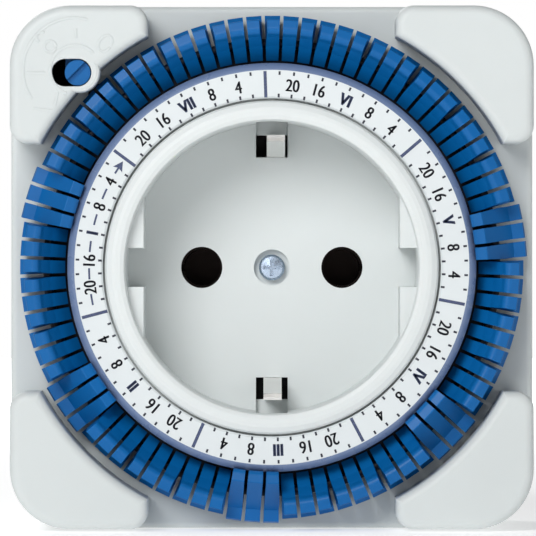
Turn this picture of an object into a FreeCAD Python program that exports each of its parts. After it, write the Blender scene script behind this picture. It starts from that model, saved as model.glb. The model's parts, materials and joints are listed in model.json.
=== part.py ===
import FreeCAD, Part
import math
import os

import Sketcher
from FreeCAD import Placement, Rotation, Vector

# A plug-in seven-day time switch with an earthed socket in its face. A dial turns once a week and
# carries 84 rocking tappets, one for each two hours. A motor and gear train in the housing drive it.
#
# Working frame, millimetres: x right, y up, w forwards from the back of the housing, dial axis at 0, 0.
# keep() turns each finished piece upright into the part's frame: X right, Z up, front towards -Y, with
# the origin between the two pins on the face of the plug. The pins run along +Y.

DIMENSIONS = {
    # Plug and socket of the earthed 16 A household system
    "pin_pitch": 19.0,
    "pin_radius": 2.4,
    "pin_collar": 2.7,
    "pin_root": 0.5,
    "pin_relief_radius": 4.0,
    "pin_relief_depth": 0.8,
    "pin_length": 19.0,
    "plug_radius": 18.5,
    "plug_bore": 15.5,
    "plug_depth": 17.0,
    "plug_floor": 2.5,
    "socket_radius": 19.5,
    "socket_floor_back": 22.0,
    "socket_floor_front": 24.5,
    "pin_hole_radius": 2.8,
    "rim_radius": 22.2,
    "rim_level": 42.0,
    "lip_radius": 24.1,
    "lip_back": 38.7,
    "lip_front": 39.6,
    "ledge_distance": 17.1,
    "ledge_level": 39.5,
    "ledge_notch": 5.2,
    "earth_slot_width": 4.3,
    "earth_slot_inner": 14.9,
    "earth_slot_outer": 17.9,
    "clip_width": 2.45,
    "sheet_thickness": 0.6,
    # Housing
    "body_side": 70.0,
    "corner_radius": 8.0,
    "wall": 2.0,
    "split_level": 19.0,
    "plate_back": 31.0,
    "plate_front": 32.5,
    "plate_hole": 26.0,
    "post_level": 43.2,
    "post_roof": 41.2,
    "post_inset": 0.2,
    "post_length": 18.3,
    "post_end_radius": 2.3,
    "post_bore": 34.9,
    "post_edge_radius": 1.2,
    "pillar_offset": 30.4,
    "pillar_radius": 2.3,
    "pillar_level": 38.0,
    "screw_radius": 0.9,
    "screw_head_radius": 2.0,
    # Dial and program ring
    "dial_inner": 22.5,
    "dial_face_edge": 26.3,
    "dial_edge": 27.2,
    "dial_back": 39.9,
    "dial_front": 41.2,
    "ring_bore": 22.5,
    "skirt_radius": 23.8,
    "collar_inner": 24.4,
    "collar_outer": 26.0,
    "shoulder_level": 38.4,
    "flange_radius": 30.6,
    "flange_back": 32.8,
    "flange_front": 34.0,
    # Tappets
    "pivot_radius": 29.95,
    "pivot_level": 36.0,
    "bead_radius": 0.65,
    "bead_web": 0.6,
    "clip_bore": 0.78,
    "lever_tilt": 19.5,
    "lever_height": 6.5,
    "lever_gap": 0.45,
    "head_bend": 0.8,
    "head_edge": 0.22,
    "first_tappet_angle": -2.0,
    # Gear train
    "dial_module": 0.5,
    "train_module": 0.4,
    "ring_gear_back": 27.0,
    "ring_gear_front": 30.5,
    "arbor_radius": 0.75,
    "bearing_radius": 0.8,
    "bearing_level": 13.3,
    "bearing_floor": 9.2,
    "movement_back": 18.4,
    "movement_front": 19.6,
    # Motor
    "motor_offset": 18.5,
    "motor_radius": 13.0,
    "motor_back": 2.5,
    "motor_front": 11.5,
    "gearbox_front": 13.0,
    # Override slider and load switch
    "button_x": -25.775,
    "button_y": 25.85,
    "button_radius": 1.7,
    "button_travel": 1.65,
    "slot_radius": 1.85,
    "boss_radius": 2.8,
    "boss_level": 38.3,
    "wedge_slope": 0.6,
    "plunger_offset": 23.33,
    "plunger_radius": 1.1,
    "plunger_level": 33.55,
}

TAPPETS = 84
TAPPETS_PER_GROUP = 3
HALF_HEAD = 0.9
LEVER_STOCK = 3.0
GROUPS_SWITCHED_IN = (6, 10, 14, 18, 22)
RING_TEETH = 98
DAY_PINION_TEETH = 14
WHEEL_TEETH = 60
PINION_TEETH = 10

doc = FreeCAD.newDocument("socket_timer")
sheet = doc.addObject("Spreadsheet::Sheet", "dims")
for row, (alias, value) in enumerate(DIMENSIONS.items(), start=1):
    sheet.set(f"A{row}", alias)
    sheet.set(f"B{row}", str(value))
    sheet.setAlias(f"B{row}", alias)
doc.recompute()


# ---------------------------------------------------------------- sizes that know their sheet formula


class Size:
    """A number together with the sheet formula that it comes from."""

    def __init__(self, amount, text):
        self.amount = amount
        self.text = text

    def __add__(self, other):
        return Size(self.amount + number(other), f"({self.text} + {formula(other)})")

    def __radd__(self, other):
        return Size(number(other) + self.amount, f"({formula(other)} + {self.text})")

    def __sub__(self, other):
        return Size(self.amount - number(other), f"({self.text} - {formula(other)})")

    def __rsub__(self, other):
        return Size(number(other) - self.amount, f"({formula(other)} - {self.text})")

    def __mul__(self, other):
        return Size(self.amount * number(other), f"({self.text} * {formula(other)})")

    __rmul__ = __mul__

    def __truediv__(self, other):
        return Size(self.amount / number(other), f"({self.text} / {formula(other)})")

    def __neg__(self):
        return self * -1


class SheetSizes:
    """The sheet's cells by alias, each one a Size."""

    def __getattr__(self, alias):
        return Size(float(sheet.get(alias)), f"dims.{alias}")


def number(size):
    return size.amount if isinstance(size, Size) else float(size)


def formula(size):
    return size.text if isinstance(size, Size) else repr(float(size))


D = SheetSizes()

# ---------------------------------------------------------------- building blocks

ORIGIN_PLANES = {"XY": "XY_Plane", "XZ": "XZ_Plane"}
UPRIGHT = Rotation(Vector(1, 0, 0), 90)
TOUCH = 0.01

local_places = {}
subparts = []


def bind(obj, **sizes):
    """Bind properties of an object to their sheet formulas."""
    for name, size in sizes.items():
        obj.setExpression(name.replace("_at_", "."), formula(size))


def move(obj, x, y, w):
    """Place an object in the working frame."""
    local_places[obj.Name] = (x, y, w)
    bind(obj, Placement_at_Base_at_x=x, Placement_at_Base_at_y=y, Placement_at_Base_at_z=w)
    return obj


def keep(piece):
    """Turn a finished piece upright into the part's frame and list it as a sub-part."""
    if piece.TypeId == "Part::Feature":
        front = Vector(0, -number(D.plug_depth), 0)
        piece.Placement = Placement(front, UPRIGHT).multiply(piece.Placement)
    else:
        x, y, w = local_places.get(piece.Name, (0, 0, 0))
        piece.Placement.Rotation = UPRIGHT
        move(piece, x, -(D.plug_depth + w), y)
    piece.Label = piece.Name
    subparts.append(piece)
    return piece


def block(name, x, y, w):
    """A box from (low, high) pairs."""
    box = doc.addObject("Part::Box", name)
    bind(box, Length=x[1] - x[0], Width=y[1] - y[0], Height=w[1] - w[0])
    return move(box, x[0], y[0], w[0])


def rod(name, radius, w, centre=(0, 0)):
    """A cylinder along w."""
    cylinder = doc.addObject("Part::Cylinder", name)
    bind(cylinder, Radius=radius, Height=w[1] - w[0])
    return move(cylinder, centre[0], centre[1], w[0])


def fuse(name, *pieces):
    joined = doc.addObject("Part::MultiFuse", name)
    joined.Shapes = list(pieces)
    return joined


def cut(name, base, *tools):
    result = doc.addObject("Part::Cut", name)
    result.Base = base
    result.Tool = tools[0] if len(tools) == 1 else fuse(f"{name}_tools", *tools)
    return result


def common(name, first, second):
    result = doc.addObject("Part::Common", name)
    result.Base = first
    result.Tool = second
    return result


def group(name, *pieces):
    """Separate solids that share one node."""
    compound = doc.addObject("Part::Compound", name)
    compound.Links = list(pieces)
    return compound


def draw_outline(sketch, points):
    """Straight sides through the points, with every corner held by sheet formulas."""
    count = len(points)
    corners = [Vector(number(a), number(b), 0) for a, b in points]
    for i in range(count):
        sketch.addGeometry(Part.LineSegment(corners[i], corners[(i + 1) % count]), False)
    for i in range(count):
        sketch.addConstraint(Sketcher.Constraint("Coincident", i, 2, (i + 1) % count, 1))
    for i, corner in enumerate(points):
        for kind, axis, size in (("DistanceX", -2, corner[0]), ("DistanceY", -1, corner[1])):
            if number(size) == 0:
                sketch.addConstraint(Sketcher.Constraint("PointOnObject", i, 1, axis))
                continue
            index = sketch.addConstraint(Sketcher.Constraint(kind, -1, 1, i, 1, number(size)))
            sketch.setExpression(f"Constraints[{index}]", formula(size))


def sketched_body(name, plane, offset, points):
    """A PartDesign body with one outline sketch on an origin plane, offset along the plane's normal."""
    body = doc.addObject("PartDesign::Body", name)
    sketch = body.newObject("Sketcher::SketchObject", f"{name}_outline")
    support = [f for f in body.Origin.OriginFeatures if f.Role == ORIGIN_PLANES[plane]][0]
    sketch.AttachmentSupport = (support, [""])
    sketch.MapMode = "FlatFace"
    sketch.setExpression("AttachmentOffset.Base.z", formula(offset))
    draw_outline(sketch, points)
    return body, sketch


def lathe(name, points):
    """An outline of (radius, w) points turned about the w axis."""
    body, sketch = sketched_body(name, "XZ", 0, points)
    turn = body.newObject("PartDesign::Revolution", f"{name}_turn")
    turn.Profile = sketch
    turn.ReferenceAxis = (sketch, ["V_Axis"])
    turn.Angle = 360
    body.Tip = turn
    return body


def prism(name, plane, points, low, high):
    """An outline padded square to its plane from low to high. The XZ plane's normal is -y."""
    body, sketch = sketched_body(name, plane, -high if plane == "XZ" else low, points)
    pad = body.newObject("PartDesign::Pad", f"{name}_pad")
    pad.Profile = sketch
    bind(pad, Length=high - low)
    body.Tip = pad
    return body


def round_edges(body, tag, radius, wanted):
    """Add a PartDesign fillet to the edges of the body's tip that the test picks."""
    doc.recompute()
    tip = body.Tip
    names = [f"Edge{i}" for i, edge in enumerate(tip.Shape.Edges, 1) if wanted(edge)]
    fillet = body.newObject("PartDesign::Fillet", f"{body.Name}_{tag}")
    fillet.Base = (tip, names)
    bind(fillet, Radius=radius)
    body.Tip = fillet
    return body


def rounded_box(name, half, radius, w):
    """A square block about the dial axis with rounded upright edges."""
    square = [(-half, -half), (half, -half), (half, half), (-half, half)]
    body = prism(name, "XY", square, *w)
    return round_edges(body, "corners", radius, is_upright)


def is_upright(edge):
    return edge.BoundBox.XLength < TOUCH and edge.BoundBox.YLength < TOUCH


def edges_at(level):
    """A test for the edges that lie at one w level."""
    return lambda edge: edge.BoundBox.ZMin > number(level) - TOUCH and edge.BoundBox.ZLength < TOUCH


def four_corners():
    return [(sx, sy) for sx in (-1, 1) for sy in (-1, 1)]


def finished_shape(name, shape):
    """A piece made by formula: its shape is set here, in the working frame."""
    piece = doc.addObject("Part::Feature", name)
    piece.Shape = shape
    return piece


# ---------------------------------------------------------------- gears


def involute(angle):
    return math.tan(angle) - angle


def gear_shape(teeth, module, w, bore=0.0, tooth_at=0.0, centre=(0.0, 0.0), backlash=0.05):
    """A spur gear with 20 degree involute teeth, and one tooth centred at the angle tooth_at."""
    pressure = math.radians(20)
    pitch = teeth * module / 2
    base = pitch * math.cos(pressure)
    root = pitch - 1.3 * module
    tip = pitch + 0.9 * module
    start = max(base, root)
    radii = [root] * (start > root) + [start + (tip - start) * step / 3 for step in range(4)]

    def half_angle(radius):
        roll = math.acos(min(1.0, base / max(radius, base)))
        return math.pi / (2 * teeth) - backlash / (2 * pitch) + involute(pressure) - involute(roll)

    corners = []
    for tooth in range(teeth):
        middle = math.radians(tooth_at) + 2 * math.pi * tooth / teeth
        flank = [(radius, half_angle(radius)) for radius in radii]
        for radius, half in flank:
            corners.append((radius, middle - half))
        for radius, half in reversed(flank):
            corners.append((radius, middle + half))
    points = [
        Vector(centre[0] + r * math.cos(angle), centre[1] + r * math.sin(angle), w[0]) for r, angle in corners
    ]
    face = Part.Face(Part.makePolygon(points + points[:1]))
    gear = face.extrude(Vector(0, 0, w[1] - w[0]))
    if bore:
        hole = Part.makeCylinder(bore, w[1] - w[0], Vector(centre[0], centre[1], w[0]))
        gear = gear.cut(hole)
    return gear


# The day arbor stands at 45 degrees below the dial axis, the reduction arbor and motor pinion in line
# with it to the left.
arbor_distance = D.dial_module * (RING_TEETH + DAY_PINION_TEETH) / 2
arbor_step = D.train_module * (WHEEL_TEETH + PINION_TEETH) / 2
day_x = arbor_distance * math.sqrt(0.5)
train_y = -day_x
reduction_x = day_x - arbor_step
motor_x = reduction_x - arbor_step

ring_gear_w = (number(D.ring_gear_back), number(D.ring_gear_front))


def train_gear(name, teeth, x, w, tooth_at, bore=0.0):
    centre = (number(x), number(train_y))
    shape = gear_shape(teeth, number(D.train_module), w, bore, tooth_at, centre)
    return finished_shape(name, shape)


# ---------------------------------------------------------------- housing


def corner_block(name, signs, inner, outer, levels, corner_radius):
    """A square block in one corner of the housing, rounded at the housing's own corner."""
    sx, sy = signs
    square = [(inner * sx, inner * sy), (outer * sx, inner * sy)]
    square += [(outer * sx, outer * sy), (inner * sx, outer * sy)]
    if sx * sy < 0:
        square.reverse()
    body = prism(name, "XY", square, *levels)

    def at_outer_corner(edge):
        nearest = min(abs(edge.CenterOfMass.x), abs(edge.CenterOfMass.y))
        return is_upright(edge) and nearest > number(outer) - 1

    round_edges(body, "corner", corner_radius, at_outer_corner)
    return body


def corner_name(kind, sx, sy):
    return f"{kind}_{'r' if sx > 0 else 'l'}{'t' if sy > 0 else 'b'}"


def corner_post(sx, sy):
    """One raised corner of the cover, with soft ends and top, hollowed to the dial ring's curve."""
    name = corner_name("post", sx, sy)
    outer = D.body_side / 2 - D.post_inset
    inner = outer - D.post_length
    levels = (D.plate_front, D.post_level)
    body = corner_block(f"{name}_block", (sx, sy), inner, outer, levels, D.corner_radius)

    def at_end(edge):
        reach = abs(edge.CenterOfMass.x) + abs(edge.CenterOfMass.y)
        return is_upright(edge) and abs(reach - number(inner + outer)) < 1

    round_edges(body, "ends", D.post_end_radius, at_end)
    disc_w = (D.plate_front - 1, D.post_level + 1)
    post = cut(name, body, rod(f"{name}_bore", D.post_bore, disc_w))
    doc.recompute()
    soft = doc.addObject("Part::Fillet", f"{name}_soft")
    soft.Base = post
    radius = number(D.post_edge_radius)
    top = edges_at(D.post_level)
    soft.Edges = [(i, radius, radius) for i, edge in enumerate(post.Shape.Edges, 1) if top(edge)]
    return soft


def post_cavity(sx, sy):
    """The hollow behind one corner post."""
    name = corner_name("cavity", sx, sy)
    outer = D.body_side / 2 - D.wall
    inner = D.body_side / 2 - D.post_inset - D.post_length + D.wall + 0.2
    levels = (D.plate_back - 1, D.post_roof)
    body = corner_block(f"{name}_block", (sx, sy), inner, outer, levels, D.corner_radius - D.wall)
    return cut(name, body, rod(f"{name}_core", D.post_bore + D.wall, (D.plate_back - 2, D.post_level)))


def stadium(name, radius, w):
    """The override slot's outline, from the button at rest to the button at its far end."""
    ends = (D.button_x - D.button_travel, D.button_x)
    left = rod(f"{name}_left", radius, w, (ends[0], D.button_y))
    right = rod(f"{name}_right", radius, w, (ends[1], D.button_y))
    middle = block(f"{name}_middle", ends, (D.button_y - radius, D.button_y + radius), w)
    return fuse(name, left, right, middle)


def front_cover():
    half = D.body_side / 2
    outer = rounded_box("cover_outer", half, D.corner_radius, (D.split_level, D.plate_front))
    round_edges(outer, "lip", 0.8, edges_at(D.plate_front))
    hollow = rounded_box(
        "cover_hollow", half - D.wall, D.corner_radius - D.wall, (D.split_level - 1, D.plate_back)
    )
    posts = [corner_post(sx, sy) for sx, sy in four_corners()]
    boss = lathe(
        "boss",
        [
            (0, D.boss_level),
            (D.boss_radius, D.boss_level),
            (D.boss_radius, D.post_level - 0.5),
            (D.boss_radius - 0.15, D.post_level - 0.15),
            (D.boss_radius - 0.5, D.post_level),
            (0, D.post_level),
        ],
    )
    move(boss, -25.6, 26.0, 0)
    cavities = [post_cavity(sx, sy) for sx, sy in four_corners()]
    hollowed = cut("cover_hollowed", fuse("cover_solid", outer, boss, *posts), hollow, *cavities)
    pillars = []
    for i, (sx, sy) in enumerate(four_corners()):
        centre = (D.pillar_offset * sx, D.pillar_offset * sy)
        pillars.append(rod(f"cover_pillar_{i}", D.pillar_radius, (D.split_level, D.pillar_level), centre))
    holes = [
        rod("ring_hole", D.plate_hole, (D.plate_back - 1, D.plate_front + 1)),
        stadium("override_slot", D.slot_radius, (D.plate_back - 1, D.post_level + 1)),
        rod(
            "plunger_hole",
            D.plunger_radius + 0.25,
            (D.plate_back - 1, D.plate_front + 1),
            (-D.plunger_offset, D.plunger_offset),
        ),
    ]
    for i, (sx, sy) in enumerate(four_corners()):
        centre = (D.pillar_offset * sx, D.pillar_offset * sy)
        holes.append(rod(f"cover_screw_{i}", D.screw_radius, (D.split_level - 1, D.split_level + 12), centre))
    return keep(cut("front_cover", fuse("cover_body", hollowed, *pillars), *holes))


def rear_shell():
    half = D.body_side / 2
    outer = rounded_box("shell_outer", half, D.corner_radius, (0, D.split_level))
    round_edges(outer, "back", 1.5, edges_at_back)
    plug = lathe(
        "plug_outer",
        [
            (0, -D.plug_depth),
            (D.plug_radius - 0.8, -D.plug_depth),
            (D.plug_radius, 0.8 - D.plug_depth),
            (D.plug_radius, 1),
            (0, 1),
        ],
    )
    hollow = rounded_box("shell_hollow", half - D.wall, D.corner_radius - D.wall, (D.wall, D.split_level + 1))
    plug_hollow = rod("plug_hollow", D.plug_bore, (D.plug_floor - D.plug_depth, D.wall + 1))
    shell = cut("shell_walls", fuse("shell_solid", outer, plug), hollow, plug_hollow)
    solids = [shell, rod("centre_pillar", 3.5, (D.plug_floor - D.plug_depth, 20.8))]
    holes = [rod("centre_screw_hole", 1.2, (10, 21.8))]
    for i, (sx, sy) in enumerate(four_corners()):
        centre = (D.pillar_offset * sx, D.pillar_offset * sy)
        solids.append(rod(f"shell_pillar_{i}", D.pillar_radius, (0.5, D.split_level), centre))
        holes.append(rod(f"shell_screw_{i}", D.screw_radius, (-1, D.split_level + 1), centre))
        holes.append(rod(f"shell_counterbore_{i}", D.screw_head_radius, (-1, 3), centre))
    for name, x in (("day", day_x), ("reduction", reduction_x)):
        solids.append(rod(f"{name}_boss", 2.0, (D.wall, D.bearing_level), (x, train_y)))
        bearing_w = (D.bearing_floor, D.bearing_level + 1)
        holes.append(rod(f"{name}_bearing", D.bearing_radius, bearing_w, (x, train_y)))
    for i, side in enumerate((-1, 1)):
        centre = (D.pin_pitch / 2 * side, 0)
        holes.append(rod(f"pin_seat_{i}", D.pin_collar, (-D.plug_depth - 1, D.wall), centre))
        relief = (-D.plug_depth - 1, D.pin_relief_depth - D.plug_depth)
        holes.append(rod(f"pin_relief_{i}", D.pin_relief_radius, relief, centre))
        edge = sorted((16.9 * side, 19.0 * side))
        holes.append(block(f"earth_groove_{i}", (-2.6, 2.6), edge, (-D.plug_depth - 1, -1.0)))
        edge = sorted((14.0 * side, 17.5 * side))
        holes.append(block(f"earth_opening_{i}", (-2.5, 2.5), edge, (-14.5, -13.7)))
        edge = sorted((17.2 * side, 19.0 * side))
        holes.append(block(f"guide_flat_{i}", edge, (-2.7, 2.7), (-D.plug_depth - 1, -3.0)))
    return keep(cut("rear_shell", fuse("shell_body", *solids), *holes))


def edges_at_back(edge):
    return edge.BoundBox.ZMax < TOUCH and edge.BoundBox.ZLength < TOUCH


def cross_recess(name, reach, width, w, centre=(0, 0)):
    """The two crossed slots of a screw head."""
    x, y = centre
    bars = [
        block(f"{name}_bar_a", (x - reach, x + reach), (y - width / 2, y + width / 2), w),
        block(f"{name}_bar_b", (x - width / 2, x + width / 2), (y - reach, y + reach), w),
    ]
    return fuse(name, *bars)


def housing_screws():
    """Four self-tapping screws from the rear into the cover's pillars."""
    screws = []
    for i, (sx, sy) in enumerate(four_corners()):
        centre = (D.pillar_offset * sx, D.pillar_offset * sy)
        body = lathe(
            f"screw_{i}",
            [
                (0, 0.8),
                (D.screw_head_radius - 0.5, 0.8),
                (D.screw_head_radius, 1.4),
                (D.screw_head_radius, 3.0),
                (D.screw_radius, 3.0),
                (D.screw_radius, D.split_level + 10.5),
                (0, D.split_level + 12.0),
            ],
        )
        move(body, *centre, 0)
        screws.append(cut(f"screw_{i}_cut", body, cross_recess(f"screw_{i}_cross", 1.3, 0.45, (0, 1.9), centre)))
    return keep(group("housing_screws", *screws))


# ---------------------------------------------------------------- plug and socket


def socket_insert():
    """The socket cup: floor, wall and rim, and the lip that holds the program ring back."""
    cup = lathe(
        "socket_cup",
        [
            (0, D.socket_floor_back),
            (D.rim_radius, D.socket_floor_back),
            (D.rim_radius, D.lip_back),
            (D.lip_radius, D.lip_back),
            (D.lip_radius, D.lip_front),
            (D.rim_radius, D.lip_front),
            (D.rim_radius, D.rim_level - 1.0),
            (D.rim_radius - 0.25, D.rim_level - 0.45),
            (D.rim_radius - 0.9, D.rim_level - 0.1),
            (D.rim_radius - 1.4, D.rim_level),
            (D.socket_radius + 0.7, D.rim_level),
            (D.socket_radius + 0.2, D.rim_level - 0.2),
            (D.socket_radius, D.rim_level - 0.7),
            (D.socket_radius, D.socket_floor_front),
            (0, D.socket_floor_front),
        ],
    )
    core = rod("ledge_core", D.socket_radius + 0.1, (D.socket_floor_front - 0.5, D.ledge_level))
    solids = [cup]
    cuts = []
    for i, side in enumerate((-1, 1)):
        span = sorted((D.ledge_distance * side, 20.5 * side), key=number)
        slab = block(f"ledge_slab_{i}", span, (-11, 11), (D.socket_floor_front - 0.5, D.ledge_level))
        notch = block(
            f"ledge_notch_{i}",
            span,
            (-D.ledge_notch / 2, D.ledge_notch / 2),
            (D.socket_floor_front, D.ledge_level + 1),
        )
        ledge = cut(f"ledge_{i}_notched", common(f"ledge_{i}", core, slab), notch)
        solids.append(ledge)
        centre = (D.pin_pitch / 2 * side, 0)
        floor_w = (D.socket_floor_back - 1, D.socket_floor_front + 1)
        cuts.append(rod(f"pin_hole_{i}", D.pin_hole_radius, floor_w, centre))
        slot_half = D.earth_slot_width / 2
        slot_x = (-slot_half, slot_half)
        hole_span = sorted((D.earth_slot_inner * side, D.earth_slot_outer * side), key=number)
        cuts.append(block(f"earth_slot_{i}", slot_x, hole_span, (D.socket_floor_back - 1, 25.5)))
        recess_span = sorted(((D.earth_slot_outer - 0.1) * side, (D.socket_radius + 0.9) * side), key=number)
        cuts.append(block(f"earth_recess_{i}", slot_x, recess_span, (D.socket_floor_front - 1.1, 37.5)))
    cuts.append(rod("centre_counterbore", 2.43, (23.3, 25.5)))
    cuts.append(rod("centre_hole", 1.2, (D.socket_floor_back - 1, 25.5)))
    return keep(cut("socket_insert", fuse("socket_solid", *solids), *cuts))


def centre_screw():
    body = lathe(
        "centre_screw_blank",
        [(0, 12.0), (1.2, 13.0), (1.2, 23.3), (1.75, 23.3), (1.75, 24.3), (1.45, 24.6), (0, 24.75)],
    )
    recess = cross_recess("centre_cross", 1.15, 0.5, (23.8, 25.5))
    return keep(cut("centre_screw", body, recess))


def pin(name, side):
    """One plug pin with a domed tip, a thicker root in the plug's floor and a flange behind it."""
    tip = -(D.plug_depth + D.pin_length)
    seat = D.plug_floor - D.plug_depth
    body = lathe(
        name,
        [
            (0, tip),
            (D.pin_radius * 0.5, tip + 0.3),
            (D.pin_radius * 0.87, tip + 1.2),
            (D.pin_radius, tip + 2.4),
            (D.pin_radius, D.pin_root - D.plug_depth),
            (D.pin_collar, D.pin_root - D.plug_depth),
            (D.pin_collar, seat),
            (3.4, seat),
            (3.4, seat + 1.5),
            (1.8, seat + 1.5),
            (1.8, -12.0),
            (0, -12.0),
        ],
    )
    move(body, D.pin_pitch / 2 * side, 0, 0)
    return keep(body)


def plug_earth_strip():
    """The earth strip in the plug: a bar across the floor and a contact leg in each side groove."""
    thick = 0.8
    bar = block("plug_bar", (-2.5, 2.5), (-17.8, 17.8), (-14.5, -14.5 + thick))
    legs = []
    for i, side in enumerate((-1, 1)):
        legs.append(block(f"plug_leg_{i}", (-2.5, 2.5), sorted((17.0 * side, 17.8 * side)), (-14.5, -2.0)))
    disc = rod("plug_bar_disc", 5.5, (-14.5, -14.5 + thick))
    hole = rod("plug_bar_hole", 3.5, (-15.5, -13.0))
    return keep(cut("plug_earth_strip", fuse("plug_strip_solid", bar, disc, *legs), hole))


def strip_outline(points, thickness):
    """The closed outline of a bent strip of even thickness along a line of points."""
    sides = ([], [])
    for i, (a, b) in enumerate(points):
        before = points[max(i - 1, 0)]
        after = points[min(i + 1, len(points) - 1)]
        directions = []
        for start, end in ((before, (a, b)), ((a, b), after)):
            length = math.hypot(end[0] - start[0], end[1] - start[1])
            if length:
                directions.append(((end[0] - start[0]) / length, (end[1] - start[1]) / length))
        mean = [sum(d[k] for d in directions) / len(directions) for k in (0, 1)]
        scale = thickness / 2 / (mean[0] ** 2 + mean[1] ** 2)
        for side, points_of_side in zip((1, -1), sides):
            points_of_side.append((a - mean[1] * scale * side, b + mean[0] * scale * side))
    return sides[0] + sides[1][::-1]


def earth_clips():
    """The earth contacts: a strap behind the floor, a backed tongue at each end, a leg to the plug."""
    tongue_line = [(15.8, 21.2), (15.25, 25.4), (15.25, 26.8), (17.2, 31.6)]
    thickness = number(D.sheet_thickness)
    half = number(D.clip_width) / 2
    strap_w = (20.8, 21.7)
    strap_thickness = strap_w[1] - strap_w[0]
    pieces = [
        Part.makeBox(5.0, 27.0, strap_thickness, Vector(-2.5, -13.5, strap_w[0])),
        Part.makeBox(5.0, 0.8, strap_w[1] + 13.7, Vector(-2.5, 7.0, -13.7)),
    ]
    for side, middle in ((1, 0.55), (-1, 0.1)):
        tab = Vector(middle - half, min(13.0 * side, 18.0 * side), strap_w[0])
        pieces.append(Part.makeBox(2 * half, 5.0, strap_thickness, tab))
        outline = [Vector(middle - half, a * side, b) for a, b in strip_outline(tongue_line, thickness)]
        pieces.append(Part.Face(Part.makePolygon(outline + outline[:1])).extrude(Vector(2 * half, 0, 0)))
        back = min(17.45 * side, 17.8 * side)
        pieces.append(Part.makeBox(2 * half, 0.35, 11.5, Vector(middle - half, back, strap_w[0])))
    strip = pieces[0].fuse(pieces[1:])
    hole = Part.makeCylinder(1.2, 4.0, Vector(0, 0, 19.0))
    return keep(finished_shape("earth_clips", strip.cut(hole).removeSplitter()))


def pin_sleeve(name, side):
    """A contact sleeve behind a pin hole, slit along one side so that it springs, with a tail."""
    centre = (D.pin_pitch / 2 * side, 0)
    outer = rod(f"{name}_outer", 3.2, (3.5, 21.6), centre)
    bore = rod(f"{name}_bore", 2.5, (4.3, 22.6), centre)
    slit = block(f"{name}_slit", sorted((9.5 * side, 14.0 * side)), (-0.5, 0.5), (9.0, 22.6))
    pieces = [outer]
    if side < 0:
        pieces.append(block(f"{name}_tail", (-10.5, -8.5), (2.5, 5.0), (3.5, 4.3)))
    solid = fuse(f"{name}_solid", *pieces) if len(pieces) > 1 else outer
    return keep(cut(name, solid, bore, slit))


# ---------------------------------------------------------------- dial, program ring and tappets


def dial_disc():
    profile = [
        (D.dial_inner, D.dial_back),
        (D.dial_edge, D.dial_back),
        (D.dial_edge, D.dial_back + 0.4),
        (D.dial_face_edge, D.dial_front),
        (D.dial_inner + 0.25, D.dial_front),
        (D.dial_inner, D.dial_front - 0.25),
    ]
    return keep(lathe("dial_disc", profile))


def program_ring():
    """The ring that carries the tappets: skirt, gear, flange, collar and the bead that they clip to."""
    web = D.bead_web / 2
    ring = lathe(
        "ring_profile",
        [
            (D.ring_bore, D.ring_gear_front),
            (D.skirt_radius, D.ring_gear_front),
            (D.skirt_radius, D.flange_back),
            (D.flange_radius, D.flange_back),
            (D.flange_radius, D.flange_front),
            (D.pivot_radius + web, D.flange_front),
            (D.pivot_radius + web, D.pivot_level),
            (D.pivot_radius - web, D.pivot_level),
            (D.pivot_radius - web, D.flange_front),
            (D.collar_outer, D.flange_front),
            (D.collar_outer, D.dial_back),
            (D.collar_inner, D.dial_back),
            (D.collar_inner, D.shoulder_level),
            (D.ring_bore, D.shoulder_level),
        ],
    )
    bead = doc.addObject("Part::Torus", "bead")
    bind(bead, Radius1=D.pivot_radius, Radius2=D.bead_radius)
    move(bead, 0, 0, D.pivot_level)
    teeth = gear_shape(RING_TEETH, number(D.dial_module), ring_gear_w, number(D.ring_bore), tooth_at=-45)
    return keep(fuse("program_ring", ring, bead, finished_shape("ring_gear", teeth)))


def lever_outline():
    """A tappet's side view about its pivot: u outwards, v along the lever. The foot points outwards."""
    top = number(D.lever_height)
    return [
        (-HALF_HEAD, top),
        (HALF_HEAD, top),
        (2.7, 0.3),
        (4.1, -0.3),
        (4.1, -0.9),
        (-1.3, -0.9),
        (-2.6, 0.3),
        (-1.5, 3.0),
        (-1.0, 5.0),
    ]


def upright_plate(points, thickness):
    """A plate in the u-v plane about the pivot, centred on the radial plane through +y."""
    radius = number(D.pivot_radius)
    level = number(D.pivot_level)
    corners = [Vector(-thickness / 2, radius + u, level + v) for u, v in points]
    return Part.Face(Part.makePolygon(corners + corners[:1])).extrude(Vector(thickness, 0, 0))


def hinge_turn(angle):
    """The placement that tilts a tappet outwards by an angle about its bead, at the top of the dial."""
    pivot = Vector(0, number(D.pivot_radius), number(D.pivot_level))
    return Placement(Vector(), Rotation(Vector(1, 0, 0), -angle), pivot)


def placed(shape, placement):
    """A copy of a shape, moved."""
    moved = shape.copy()
    moved.Placement = placement.multiply(moved.Placement)
    return moved


def lever_shape():
    """One tappet, upright, with a soft head and the open bore that clips over the ring's bead."""
    body = upright_plate(lever_outline(), LEVER_STOCK)
    top = number(D.pivot_level + D.lever_height)
    for radius, u in ((D.head_bend, -HALF_HEAD), (D.head_edge, HALF_HEAD)):
        corner = Vector(0, number(D.pivot_radius) + u, top)
        edges = [edge for edge in body.Edges if edge.CenterOfMass.distanceToPoint(corner) < 0.01]
        body = body.makeFillet(number(radius), edges)
    pivot = Vector(-LEVER_STOCK, number(D.pivot_radius), number(D.pivot_level))
    bore = Part.makeCylinder(number(D.clip_bore), 2 * LEVER_STOCK, pivot, Vector(1, 0, 0))
    mouth = upright_plate([(0.0, 0.0), (1.5, -1.5), (-1.5, -1.5)], 2 * LEVER_STOCK)
    return body.cut(bore.fuse(mouth)).removeSplitter()


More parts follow.
